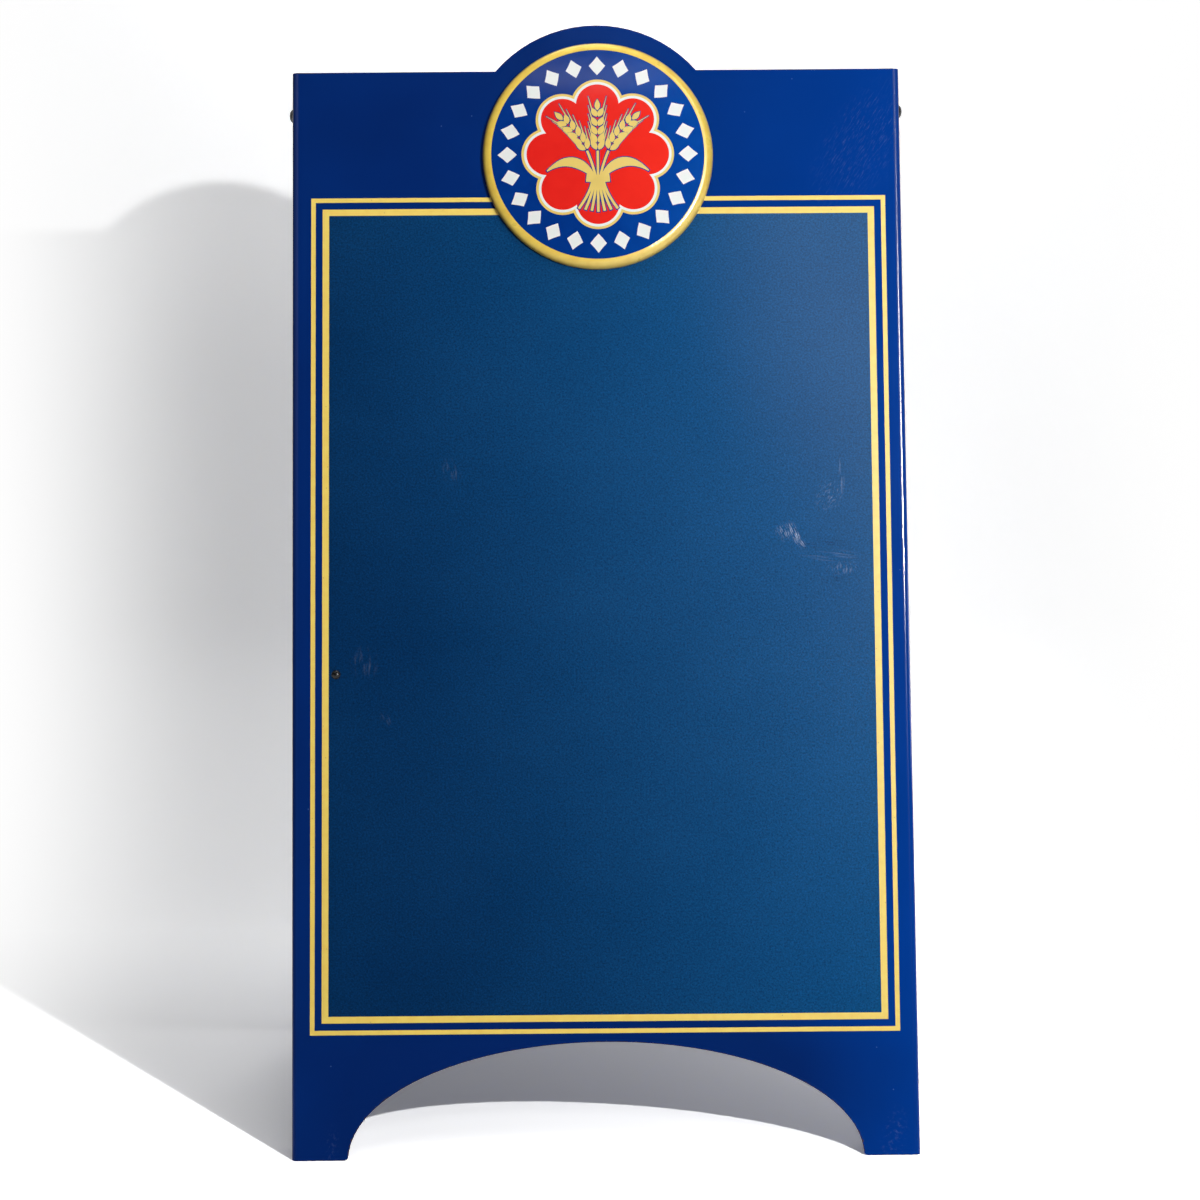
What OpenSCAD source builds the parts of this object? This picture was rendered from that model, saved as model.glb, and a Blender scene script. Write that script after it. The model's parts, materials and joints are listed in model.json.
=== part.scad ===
// Folding A-frame chalkboard sign in bent sheet steel, open on its stay chain.
// The origin is on the floor under the pivot. +Z is up and the front board faces -Y.

/* [Boards] */
// Width of the front board over its two flanges
board_w = 600; // [480:10:700]
// Length of the board's side, from foot to shoulder, along the slope
shoulder_h = 1061.4; // [950:0.2:1200]
// Sheet thickness
sheet_t = 1.2; // [1:0.1:1.5]
// Depth of the side flanges behind the face
flange_depth = 38; // [34:1:40]
// Outer radius of the bend between face and flange
bend_r = 5; // [3:0.5:6]
// Lean of each open board from upright, in degrees
lean = 13; // [11:0.5:15]

/* [Head] */
// Radius of the round head above the shoulders
head_r = 129.9; // [120:0.1:140]
// Distance of the head's centre below the shoulder line
head_drop = 83.9; // [75:0.1:90]

/* [Arch between the feet] */
// Half of the arch's width at the floor
arch_a = 246; // [180:1:260]
// Height of the arch above the foot
arch_b = 109.6; // [80:0.2:125]
// Radius of the foot's inner corner
foot_corner_r = 4; // [2:0.5:8]

/* [Pivot] */
// Distance of the pivot below the shoulder
pivot_drop = 37.4; // [34:0.2:40]
// Distance of the pivot behind the outer face
pivot_depth = 24; // [24:0.5:26]
// Diameter of the pivot screw's shank
screw_d = 6; // [5:0.5:8]
// Diameter of the screw's domed head
screw_head_d = 14.4; // [12:0.2:18]
// Height of the screw's domed head
screw_head_h = 4.8; // [3:0.2:6]
// Gap between the front and the rear flange
flange_gap = 1; // [0.8:0.1:1.5]

/* [Printed face] */
// Thickness of the chalkboard film and the border lines
film_t = 0.2; // [0.1:0.05:0.4]
// Distance from the board's edge to the narrow border line
border_inset = 17.4; // [12:0.2:30]
// Height of the border's lower edge above the foot
border_low = 118; // [115:0.2:150]
// Distance of the border's upper edge below the shoulder
border_drop = 127.2; // [110:0.2:150]
// Width of the narrow outer line
narrow_line = 4.4; // [2:0.2:6]
// Width of the wide inner line
wide_line = 6.4; // [3:0.2:9]
// Gap between the two lines
line_gap = 6.8; // [4:0.2:10]
// Distance of the film's middle to the right of the board's middle
film_x = 0.8; // [-2:0.1:2]
// Clockwise turn of the film on the board, in degrees
film_turn = 0.1; // [-0.3:0.05:0.3]

/* [Badge] */
// Outer radius of the badge's rim
badge_r = 113.5; // [105:0.1:118]
// Distance of the badge's centre below the head's centre
badge_drop = 2.9; // [0:0.1:6]
// Distance of the badge's centre to the right of the board's middle
badge_x = 1.2; // [-3:0.1:3]
// Height of the rim's inner edge above the face
badge_h = 10.8; // [10:0.1:13]
// Width of the rim's rounded shoulder
rim_w = 8.7; // [7:0.1:9]
// Radius of the rim's rounded shoulder
shoulder_r = 9; // [9:0.1:9.4]
// Rise of the domed plate from its edge to its middle
dome_rise = 3.2; // [2:0.1:5]

/* [Stay chain] */
// Height of the chain's rivets above the foot, along the slope
chain_h = 464.5; // [400:0.5:560]
// Distance of the rivets from the middle, on the left
chain_x = 257.3; // [200:0.1:270]
// Depth of the lug's hole behind the outer face
lug_hole_depth = 15.6; // [15:0.1:16]
// Diameter of the chain's wire
wire_d = 2.5; // [2:0.1:3]
// Inner length of a link
link_inner = 24; // [20:1:28]
// Outer width of a link
link_w = 10; // [9:0.5:11]

/* [Hidden] */

// Colours as the sign shows them
navy = "#0b2f86";
slate_blue = "#1b4a75";
pale_gold = "#f3dd8e";
rim_gold = "#d8b24a";
near_black = "#17181b";
zinc = "#b9bcc0";
nylon_white = "#e6e4dc";
tape_grey = "#55585c";

// Overrun of a cutting solid past what it cuts
cut = 1;
$fn = 96;

// The front board is the wider one, and the rear board nests between its flanges
front_half_w = board_w / 2;
rear_half_w = front_half_w - sheet_t - flange_gap;

// Where the boards stand: the pivot is over the origin
pivot_s = shoulder_h - pivot_drop;
foot_y = -(pivot_s * sin(lean) + pivot_depth * cos(lean));
pivot_z = pivot_s * cos(lean) - pivot_depth * sin(lean);

head_s = shoulder_h - head_drop;
head_top = head_s + head_r;
arch_steps = 72;

// Slanted ends of the flanges, which keep each one inside the other board's face
trim_rise = 10;
trim_depth = pivot_depth;

// Running clearance of the rear flange on the screw, and side play of the washers
run_fit = 0.08;
static_fit = 0.05;
side_play = 0.1;
spacer_d = 16;
washer_d = 15;
washer_t = 1.2;
nut_across = 10;
nut_h = 6;
nut_collar_h = 1.6;
screw_run_out = 1.2;

// Border lines, as half widths and heights of their outer edges
narrow_half = front_half_w - border_inset;
wide_half = narrow_half - narrow_line - line_gap;
chalk_half = wide_half - wide_line;
border_top = shoulder_h - border_drop;
border_mid = (border_low + border_top) / 2;
wide_inset = narrow_line + line_gap;
chalk_inset = wide_inset + wide_line;

// Badge, as radius and height above the face
badge_s = head_s - badge_drop;
tape_t = 1;
foot_w = 12;
tape_inner_r = badge_r - foot_w;
tape_outer_r = badge_r - 1;
rim_t = 1.2;
rim_base = film_t + tape_t;
lip_r = badge_r - rim_w;
plate_t = 1;
plate_r = lip_r - static_fit;
plate_top_h = badge_h + dome_rise;
dome_r = (pow(plate_r, 2) + pow(dome_rise, 2)) / (2 * dome_rise);

// Blind rivets
rivet_head_d = 9;
rivet_head_h = 2.8;
rivet_d = 4;
rivet_tail_d = 6.2;
rivet_tail_h = 3.4;
mandrel_d = 2.2;
mandrel_h = 0.8;

// Chain lugs: an angle with its ear beside the rivet
lug_t = 2;
lug_bend_r = 3.2;
lug_w = 16;
lug_base_l = 17;
lug_ear_x = 8;
lug_hole_r = 3;

// Chain, from lug hole to lug hole
wire_r = wire_d / 2;
link_mid_r = (link_w - wire_d) / 2;
link_straight = link_inner - 2 * (link_mid_r - wire_r);
link_play = 0.2;
lug_hole_y = -(foot_y + chain_h * sin(lean) + lug_hole_depth * cos(lean));
lug_hole_z = chain_h * cos(lean) - lug_hole_depth * sin(lean);
end_link_y = lug_hole_y - (lug_hole_r - wire_r - link_play) - (link_inner / 2 + wire_r);
half_links = ceil(end_link_y / link_inner);
link_step = end_link_y / half_links;

// Placing: X across the board, Y into it from the outer face, Z up its slope
module on_front() {
    translate([0, foot_y, 0])
        rotate([-lean, 0, 0])
            children();
}

module on_rear() {
    mirror([0, 1, 0])
        on_front()
            children();
}

// A flat layer drawn as seen from outside, from depth y0 inwards
module layer(y0, thickness) {
    translate([0, y0 + thickness, 0])
        rotate([90, 0, 0])
            linear_extrude(thickness)
                children();
}

// A prism across the board, drawn from the side as depth and height
module across(half_w) {
    translate([-half_w, 0, 0])
        rotate([90, 0, 90])
            linear_extrude(2 * half_w)
                children();
}

// A revolved piece on the face, its axis pointing outwards
module on_face(x, s) {
    translate([x, 0, s])
        rotate([90, 0, 0])
            children();
}

// Section of the board with its two round bends, closed at the front and solid
module channel_fill(half_w, r, depth) {
    translate([-half_w + r, 0])
        square([2 * (half_w - r), depth]);
    translate([-half_w, r])
        square([2 * half_w, depth - r]);
    for (side = [-1, 1])
        translate([side * (half_w - r), r])
            circle(r);
}

module channel_section(half_w) {
    difference() {
        channel_fill(half_w, bend_r, flange_depth);
        translate([0, sheet_t])
            channel_fill(half_w - sheet_t, bend_r - sheet_t, flange_depth);
    }
}

// The arch is half an ellipse that stands on the floor line
module arch_outline() {
    polygon(concat(
        [[arch_a, -cut]],
        [for (i = [0:arch_steps])
            let (turn = 180 * i / arch_steps)
            [arch_a * cos(turn), arch_b * sin(turn)]],
        [[-arch_a, -cut]]));
}

// Waste outside the rounded inner corner of the right foot
module foot_corner_waste() {
    translate([arch_a, 0])
        difference() {
            translate([-cut, -cut])
                square(foot_corner_r + cut);
            translate([foot_corner_r, foot_corner_r])
                circle(foot_corner_r);
        }
}

module face_outline(half_w) {
    difference() {
        union() {
            translate([-half_w, 0])
                square([2 * half_w, shoulder_h]);
            translate([0, head_s])
                circle(head_r, $fn = 240);
        }
        arch_outline();
        foot_corner_waste();
        mirror([1, 0])
            foot_corner_waste();
    }
}

module flange_trim() {
    polygon([
        [flange_depth + cut, pivot_s + trim_rise - cut],
        [flange_depth, pivot_s + trim_rise],
        [trim_depth, shoulder_h],
        [trim_depth, shoulder_h + cut],
        [flange_depth + cut, shoulder_h + cut]
    ]);
}

module floor_waste() {
    translate([-board_w, 2 * foot_y, -flange_depth])
        cube([2 * board_w, -4 * foot_y, flange_depth]);
}

// One board: face, head, arch and two flanges bent from one sheet
module board(half_w, pivot_hole_r) {
    difference() {
        intersection() {
            linear_extrude(head_top + cut)
                channel_section(half_w);
            layer(-cut, flange_depth + 2 * cut)
                face_outline(half_w);
        }
        across(half_w + cut)
            flange_trim();
        translate([-half_w - cut, pivot_depth, pivot_s])
            rotate([0, 90, 0])
                cylinder(h = 2 * (half_w + cut), r = pivot_hole_r);
        on_face(-chain_x, chain_h)
            translate([0, 0, -sheet_t - cut])
                cylinder(h = sheet_t + 2 * cut, r = rivet_d / 2 + static_fit);
    }
}

module front_panel() {
    color(navy)
        difference() {
            on_front()
                board(front_half_w, screw_d / 2 + static_fit);
            floor_waste();
        }
}

module rear_panel() {
    color(navy)
        difference() {
            on_rear()
                board(rear_half_w, screw_d / 2 + run_fit);
            floor_waste();
        }
}

// The film and its lines are laid by hand, a touch off centre and turned
module as_laid() {
    translate([film_x, border_mid])
        rotate(-film_turn)
            translate([0, -border_mid])
                children();
}

// Chalkboard film inside the border, holed for the rivet
module chalkboard() {
    layer(-film_t, film_t)
        difference() {
            as_laid()
                translate([-chalk_half, border_low + chalk_inset])
                    square([2 * chalk_half, border_top - border_low - 2 * chalk_inset]);
            translate([-chain_x, chain_h])
                circle(rivet_d / 2 + static_fit);
        }
}

// One line of the border, mitred at its corners
module border_line(half_w, inset, line_w) {
    low = border_low + inset;
    high = border_top - inset;
    layer(-film_t, film_t)
        as_laid()
            difference() {
                translate([-half_w, low])
                    square([2 * half_w, high - low]);
                translate([-half_w + line_w, low + line_w])
                    square([2 * (half_w - line_w), high - low - 2 * line_w]);
            }
}

module front_chalkboard() {
    color(slate_blue)
        on_front()
            chalkboard();
}

module rear_chalkboard() {
    color(slate_blue)
        on_rear()
            chalkboard();
}

module front_narrow_border() {
    color(pale_gold)
        on_front()
            border_line(narrow_half, 0, narrow_line);
}

module rear_narrow_border() {
    color(pale_gold)
        on_rear()
            border_line(narrow_half, 0, narrow_line);
}

module front_wide_border() {
    color(pale_gold)
        on_front()
            border_line(wide_half, wide_inset, wide_line);
}

module rear_wide_border() {
    color(pale_gold)
        on_rear()
            border_line(wide_half, wide_inset, wide_line);
}

// Foam tape ring that holds the badge on the head
module badge_tape() {
    on_face(badge_x, badge_s)
        translate([0, 0, film_t])
            difference() {
                cylinder(h = tape_t, r = tape_outer_r, $fn = 240);
                translate([0, 0, -cut])
                    cylinder(h = tape_t + 2 * cut, r = tape_inner_r, $fn = 240);
            }
}

// Outer or inner outline of the rim: a round shoulder over a straight skirt
module rim_fill(wall) {
    intersection() {
        union() {
            translate([lip_r, badge_h - shoulder_r])
                circle(shoulder_r - wall);
            translate([lip_r, 0])
                square([rim_w - wall, badge_h - shoulder_r]);
        }
        translate([lip_r - wall, 0])
            square([rim_w, badge_h]);
    }
}

// Section of the rim: inward foot, skirt, and shoulder that ends flush at the plate
module rim_section() {
    difference() {
        intersection() {
            rim_fill(0);
            translate([lip_r, rim_base])
                square([rim_w, badge_h]);
        }
        intersection() {
            rim_fill(rim_t);
            translate([lip_r - rim_t, rim_base + rim_t])
                square([rim_w, badge_h]);
        }
    }
    translate([tape_inner_r, rim_base])
        square([badge_r - rim_t - tape_inner_r, rim_t]);
}

module badge_rim() {
    on_face(badge_x, badge_s)
        rotate_extrude($fn = 240)
            rim_section();
}

// Section of the domed plate, whose turned-down edge stands on the rim's foot
module plate_section() {
    intersection() {
        translate([0, plate_top_h - dome_r])
            difference() {
                circle(dome_r, $fn = 1440);
                circle(dome_r - plate_t, $fn = 1440);
            }
        square([plate_r, plate_top_h + cut]);
    }
    translate([plate_r - plate_t, rim_base + rim_t])
        square([plate_t, badge_h - rim_base - rim_t - plate_t / 2]);
}

module badge_plate() {
    on_face(badge_x, badge_s)
        rotate_extrude($fn = 240)
            plate_section();
}

module front_badge_tape() {
    color(tape_grey)
        on_front()
            badge_tape();
}

module rear_badge_tape() {
    color(tape_grey)
        on_rear()
            badge_tape();
}

module front_badge_rim() {
    color(rim_gold)
        on_front()
            badge_rim();
}

module rear_badge_rim() {
    color(rim_gold)
        on_rear()
            badge_rim();
}

module front_badge_plate() {
    color(navy)
        on_front()
            badge_plate();
}

module rear_badge_plate() {
    color(navy)
        on_rear()
            badge_plate();
}

// Places a pivot part at a flange, its axis pointing out of the sign
module at_pivot(side) {
    translate([side * front_half_w, 0, pivot_z])
        rotate([0, side * 90, 0])
            children();
}

// Depths below the outer side of the front flange
rear_flange_in = sheet_t + flange_gap + sheet_t;
washer_in = rear_flange_in + side_play + washer_t;
nut_in = washer_in + nut_h;

// Quarter ellipse for a domed head
module dome_section(r, h) {
    steps = 12;
    polygon(concat(
        [[0, 0]],
        [for (i = [0:steps])
            let (turn = 90 * i / steps)
            [r * cos(turn), h * sin(turn)]]));
}

module pivot_screw() {
    shank = nut_in + screw_run_out;
    rotate_extrude()
        dome_section(screw_head_d / 2, screw_head_h);
    translate([0, 0, -shank])
        cylinder(h = shank, r = screw_d / 2);
}

// Nylon washer that keeps the two painted flanges apart
module pivot_spacer() {
    translate([0, 0, -sheet_t - flange_gap + side_play])
        difference() {
            cylinder(h = flange_gap - 2 * side_play, r = spacer_d / 2);
            translate([0, 0, -cut])
                cylinder(h = flange_gap + cut, r = screw_d / 2 + static_fit);
        }
}

module pivot_washer() {
    translate([0, 0, -washer_in])
        difference() {
            cylinder(h = washer_t, r = washer_d / 2);
            translate([0, 0, -cut])
                cylinder(h = washer_t + 2 * cut, r = screw_d / 2 + static_fit);
        }
}

// Lock nut: a hexagon with a round collar over its nylon ring
module pivot_nut() {
    translate([0, 0, -nut_in])
        difference() {
            union() {
                cylinder(h = nut_collar_h, r = nut_across / 2 - 0.4);
                translate([0, 0, nut_collar_h])
                    cylinder(h = nut_h - nut_collar_h, d = nut_across / cos(30), $fn = 6);
            }
            translate([0, 0, -cut])
                cylinder(h = nut_h + 2 * cut, r = screw_d / 2 + static_fit);
        }
}

module pivot_screw_left() {
    color(near_black)
        at_pivot(-1)
            pivot_screw();
}

module pivot_screw_right() {
    color(near_black)
        at_pivot(1)
            pivot_screw();
}

module pivot_spacer_left() {
    color(nylon_white)
        at_pivot(-1)
            pivot_spacer();
}

module pivot_spacer_right() {
    color(nylon_white)
        at_pivot(1)
            pivot_spacer();
}

module pivot_washer_left() {
    color(zinc)
        at_pivot(-1)
            pivot_washer();
}

module pivot_washer_right() {
    color(zinc)
        at_pivot(1)
            pivot_washer();
}

module pivot_nut_left() {
    color(zinc)
        at_pivot(-1)
            pivot_nut();
}

module pivot_nut_right() {
    color(zinc)
        at_pivot(1)
            pivot_nut();
}

// Blind rivet: dome outside, set tail and mandrel stub behind the lug
module chain_rivet() {
    grip = film_t + sheet_t + lug_t;
    on_face(-chain_x, chain_h)
        translate([0, 0, film_t]) {
            rotate_extrude()
                dome_section(rivet_head_d / 2, rivet_head_h);
            translate([0, 0, -grip])
                cylinder(h = grip, r = rivet_d / 2);
            translate([0, 0, -grip])
                rotate([180, 0, 0])
                    rotate_extrude()
                        dome_section(rivet_tail_d / 2, rivet_tail_h);
            translate([0, 0, -grip - rivet_tail_h - mandrel_h])
                cylinder(h = rivet_tail_h + mandrel_h, r = mandrel_d / 2);
        }
}

// Section of the lug's angle: base on the board, ear standing into the sign
module lug_section() {
    difference() {
        union() {
            translate([lug_ear_x + lug_t / 2 - lug_base_l, 0])
                square([lug_base_l - lug_bend_r, lug_t]);
            translate([lug_ear_x - lug_t / 2, lug_bend_r])
                square([lug_t, lug_hole_depth + lug_w]);
            translate([lug_ear_x + lug_t / 2 - lug_bend_r, 0])
                square([lug_bend_r, lug_bend_r]);
        }
        translate([lug_ear_x + lug_t / 2 - lug_bend_r, 0])
            difference() {
                square([lug_bend_r + cut, lug_bend_r]);
                translate([0, lug_bend_r])
                    circle(lug_bend_r);
            }
        translate([lug_ear_x + lug_t / 2 - lug_bend_r, lug_bend_r])
            circle(lug_bend_r - lug_t);
    }
}

// Outline of the ear from the side, round about its hole
module ear_outline() {
    translate([0, -lug_w / 2])
        square([lug_hole_depth, lug_w]);
    translate([lug_hole_depth, 0])
        circle(lug_w / 2);
}

module chain_lug() {
    translate([-chain_x, 0, chain_h])
        difference() {
            intersection() {
                translate([0, sheet_t, -lug_w / 2])
                    linear_extrude(lug_w)
                        lug_section();
                across(2 * lug_base_l)
                    ear_outline();
            }
            translate([0, lug_hole_depth, 0])
                rotate([0, 90, 0])
                    cylinder(h = 2 * lug_ear_x, r = lug_hole_r);
            rotate([-90, 0, 0])
                cylinder(h = sheet_t + lug_t + cut, r = rivet_d / 2 + static_fit);
        }
}

module front_chain_rivet() {
    color(near_black)
        on_front()
            chain_rivet();
}

module rear_chain_rivet() {
    color(near_black)
        on_rear()
            chain_rivet();
}

module front_chain_lug() {
    color(near_black)
        on_front()
            chain_lug();
}

module rear_chain_lug() {
    color(near_black)
        on_rear()
            chain_lug();
}

// Long link in the XY plane, its length along Y
module chain_link() {
    for (end = [0, 180])
        rotate([0, 0, end]) {
            translate([0, link_straight / 2, 0])
                rotate_extrude(angle = 180)
                    translate([link_mid_r, 0])
                        circle(wire_r);
            translate([link_mid_r, -link_straight / 2, 0])
                rotate([-90, 0, 0])
                    cylinder(h = link_straight, r = wire_r);
        }
}

// The chain runs level from lug to lug, and each link is turned a quarter from the last
module stay_chain() {
    color(zinc)
        translate([lug_ear_x - chain_x, 0, lug_hole_z])
            for (i = [-half_links:half_links])
                translate([0, i * link_step, 0])
                    rotate([0, 90 * ((half_links + i) % 2), 0])
                        chain_link();
}

front_panel();
rear_panel();
front_chalkboard();
rear_chalkboard();
front_narrow_border();
rear_narrow_border();
front_wide_border();
rear_wide_border();
front_badge_tape();
rear_badge_tape();
front_badge_rim();
rear_badge_rim();
front_badge_plate();
rear_badge_plate();
pivot_screw_left();
pivot_screw_right();
pivot_spacer_left();
pivot_spacer_right();
pivot_washer_left();
pivot_washer_right();
pivot_nut_left();
pivot_nut_right();
front_chain_rivet();
rear_chain_rivet();
front_chain_lug();
rear_chain_lug();
stay_chain();
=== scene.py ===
"""A-frame chalkboard sign: finishes, badge print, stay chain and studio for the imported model."""

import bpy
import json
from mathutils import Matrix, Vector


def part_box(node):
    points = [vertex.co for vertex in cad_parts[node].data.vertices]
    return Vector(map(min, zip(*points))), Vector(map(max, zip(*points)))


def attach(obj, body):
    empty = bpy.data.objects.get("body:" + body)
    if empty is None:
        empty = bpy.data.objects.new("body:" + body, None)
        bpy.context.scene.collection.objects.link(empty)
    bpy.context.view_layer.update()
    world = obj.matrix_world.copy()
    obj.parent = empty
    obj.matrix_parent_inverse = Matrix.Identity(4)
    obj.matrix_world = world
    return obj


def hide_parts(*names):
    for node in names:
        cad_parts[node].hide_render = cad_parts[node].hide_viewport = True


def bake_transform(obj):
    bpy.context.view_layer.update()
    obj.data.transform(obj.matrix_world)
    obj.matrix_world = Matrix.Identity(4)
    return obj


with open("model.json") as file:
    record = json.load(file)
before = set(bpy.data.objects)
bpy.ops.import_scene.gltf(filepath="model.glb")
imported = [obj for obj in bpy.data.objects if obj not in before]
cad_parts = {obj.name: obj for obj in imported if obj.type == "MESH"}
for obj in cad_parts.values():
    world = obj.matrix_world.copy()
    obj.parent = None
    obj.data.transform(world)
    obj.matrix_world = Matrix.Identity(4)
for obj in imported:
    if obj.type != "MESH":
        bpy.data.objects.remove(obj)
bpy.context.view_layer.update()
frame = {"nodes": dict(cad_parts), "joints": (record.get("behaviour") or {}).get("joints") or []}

import json
from functools import partial
from math import atan2, copysign, cos, pi, radians, sin, sqrt

import bmesh
import bpy
from bpy.props import FloatProperty, FloatVectorProperty, IntProperty, PointerProperty
from mathutils import Matrix, Vector

bl_info = {
    "name": "A-frame Chalkboard Sign",
    "version": (1, 0, 0),
    "blender": (4, 5, 0),
    "location": "View3D > Sidebar > Sign",
    "description": "Finishes, badge print, stay chain and studio of a folding A-frame sign",
    "category": "Object",
}

MM = 0.001

# Where the two boards stand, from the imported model. Both lean by half of the fold.
LEAN = radians(frame["joints"][0]["range_deg"][1] / 2)
FOOT_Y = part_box("front_panel")[0].y
BOARD_SIDES = ("front", "rear")

# Sizes of the boards in millimetres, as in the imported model
SHOULDER_UP = 1061.4
HEAD_R = 129.9
HEAD_UP = SHOULDER_UP - 83.9
ARCH_HALF_W = 246.0
ARCH_H = 109.6
FLANGE_DEPTH = 38.0
BEND_CREST = 295.7

# The badge's domed plate in millimetres: its radius, its height above the face, and its radius of curve
PLATE_R = 104.75
PLATE_EDGE = 10.8
DOME_RISE = 3.2
DOME_R = (PLATE_R ** 2 + DOME_RISE ** 2) / (2 * DOME_RISE)

# The badge's print in millimetres: the eight-lobed field's circles, and the insets of its outlines
LOBES = 8
LOBE_RING = 49.0
LOBE_R = 26.0
GOLD_INSET = 2.4
WHITE_INSET = 5.0
OUTLINE_STEPS = 384
LINE_WIDTH = 0.9

# Depth in millimetres of a mark's soft oval, so that it goes right through the sheet
SPOT_DEPTH = 500

# How a Mix node mixes colours, and its two colour sockets
RGBA = {"data_type": "RGBA"}
FIRST = 6
SECOND = 7

# How a Map Range node eases in and out
SOFT = {"interpolation_type": "SMOOTHSTEP"}

WHITE = (1, 1, 1, 1)


def badge_middle(side):
    """Where a badge's middle is on its board: across it and up its slope, in millimetres."""
    low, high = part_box(f"{side}_badge_rim")
    middle = (low + high) / 2
    turn = 1 if side == "front" else -1
    up = (turn * middle.y - FOOT_Y) * sin(LEAN) + middle.z * cos(LEAN)
    return turn * middle.x / MM, up / MM


def linear(code):
    """Linear red, green, blue and alpha of an sRGB hex colour."""
    parts = [int(code[i:i + 2], 16) / 255 for i in (1, 3, 5)]
    return [p / 12.92 if p <= 0.04045 else ((p + 0.055) / 1.055) ** 2.4 for p in parts] + [1.0]


def board_point(side, x, up, out):
    """World point of a place on a board: across it, up its slope and out of its face, in millimetres."""
    y = FOOT_Y + (up * sin(LEAN) - out * cos(LEAN)) * MM
    z = (up * cos(LEAN) + out * sin(LEAN)) * MM
    if side == "front":
        return Vector((x * MM, y, z))
    return Vector((-x * MM, -y, z))


# Shader building


def add_node(tree, kind, feeds=None, operation=None, **settings):
    """Adds one shader node, sets its properties, and gives its sockets their values and links.

    A socket is fed with a value, with another socket, or with a node by its first output in use.
    """
    node = tree.nodes.new(f"ShaderNode{kind}")
    if operation:
        node.operation = operation
    for name, value in settings.items():
        setattr(node, name, value)
    for socket, feed in (feeds or {}).items():
        if isinstance(feed, bpy.types.Node):
            feed = next(output for output in feed.outputs if output.enabled)
        if isinstance(feed, bpy.types.NodeSocket):
            tree.links.new(feed, node.inputs[socket])
        else:
            node.inputs[socket].default_value = feed
    return node


def open_tree(owner):
    """Empties the node tree of a material or world, and gives what adds a node to it."""
    owner.use_nodes = True
    owner.node_tree.nodes.clear()
    return partial(add_node, owner.node_tree)


def open_finish(name):
    """A new material, and what adds a node to it."""
    material = bpy.data.materials.new(name)
    return material, open_tree(material)


def close_finish(add, colour, roughness, normal, more=None):
    """Puts a Principled shader on the output, with what feeds it and its other values.

    The roughness is a value, a node, or a noise with the two values that it runs between.
    """
    if isinstance(roughness, tuple):
        noise, low, high = roughness
        feeds = {"Value": noise, "From Min": 0.3, "From Max": 0.7, "To Min": low, "To Max": high}
        roughness = add("MapRange", feeds)
    feeds = {"Base Color": colour, "Roughness": roughness, "Normal": normal, **(more or {})}
    add("OutputMaterial", {"Surface": add("BsdfPrincipled", feeds)})


def board_space(add, side):
    """Place on a board in millimetres: X across it, Y up its slope, Z out of its face."""
    turn = 1 if side == "front" else -1
    feeds = {
        "Vector": add("TexCoord").outputs["Object"],
        "Scale": (turn / MM, turn / MM, 1 / MM),
        "Rotation": (LEAN - pi / 2, 0, 0),
        "Location": (0, -FOOT_Y * sin(LEAN) / MM, FOOT_Y * cos(LEAN) / MM),
    }
    return add("Mapping", feeds)


def part_space(add):
    """Place on a small part in millimetres."""
    place = add("TexCoord").outputs["Object"]
    return add("Mapping", {"Vector": place, "Scale": (1 / MM, 1 / MM, 1 / MM)})


def mottled(add, place, size, detail, low=0.3, high=0.7):
    """Noise whose clouds are so many millimetres across, and a mask of where it is high."""
    noise = add("TexNoise", {"Vector": place, "Scale": 1 / size, "Detail": detail})
    return noise, add("MapRange", {"Value": noise, "From Min": low, "From Max": high})


def relief(add, place, size, detail, depth, roughness=0.5, under=None):
    """Noise with grains so many millimetres across, and its bump, so many deep, over another's."""
    noise = add("TexNoise", {"Vector": place, "Scale": 1 / size, "Detail": detail, "Roughness": roughness})
    feeds = {"Height": noise, "Strength": 1.0, "Distance": depth * MM}
    if under:
        feeds["Normal"] = under
    return noise, add("Bump", feeds)


def specks(add, place, apart, rim, core, strength):
    """Mask of specks so many millimetres apart, their rim and core as shares of that."""
    cells = add("TexVoronoi", {"Vector": place, "Scale": 1 / apart}, voronoi_dimensions="2D")
    return add("MapRange", {"Value": cells, "From Min": rim, "From Max": core, "To Max": strength})


def faded_spot(add, place, at, half_size, turn=0):
    """Mask of a soft oval on a board, and the place inside it, one unit from middle to edge."""
    feeds = {"Vector": place, "Location": (*at, 0), "Rotation": (0, 0, radians(turn))}
    feeds["Scale"] = (*half_size, SPOT_DEPTH)
    local = add("Mapping", feeds, vector_type="TEXTURE")
    away = add("VectorMath", {0: local}, "LENGTH")
    return add("MapRange", {"Value": away, "From Min": 1.0, "From Max": 0.25}, **SOFT), local


def rubbed_patch(add, place, at, half_size, turn, strokes, strength, runs=1.1):
    """Mask of a rubbed place: an oval with strokes along its height, a number across and along it."""
    mask, local = faded_spot(add, place, at, half_size, turn)
    combed = add("Mapping", {"Vector": local, "Scale": (strokes, runs, 1)})
    grain = add("TexNoise", {"Vector": combed, "Scale": 1.0, "Detail": 5, "Roughness": 0.7})
    lines = add("MapRange", {"Value": grain, "From Min": 0.52, "From Max": 0.72, "To Max": strength})
    return add("Math", {0: lines, 1: mask}, "MULTIPLY")


def rising(add, place, toward, start, end, middle=(0, 0), least=0, **settings):
    """Mask that rises from a least value to one along a direction, from start to end past a middle."""
    along = add("VectorMath", {0: place, 1: (*toward, 0)}, "DOT_PRODUCT")
    origin = Vector(toward).dot(middle)
    feeds = {"Value": along, "From Min": origin + start, "From Max": origin + end, "To Min": least}
    return add("MapRange", feeds, **settings)


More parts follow.
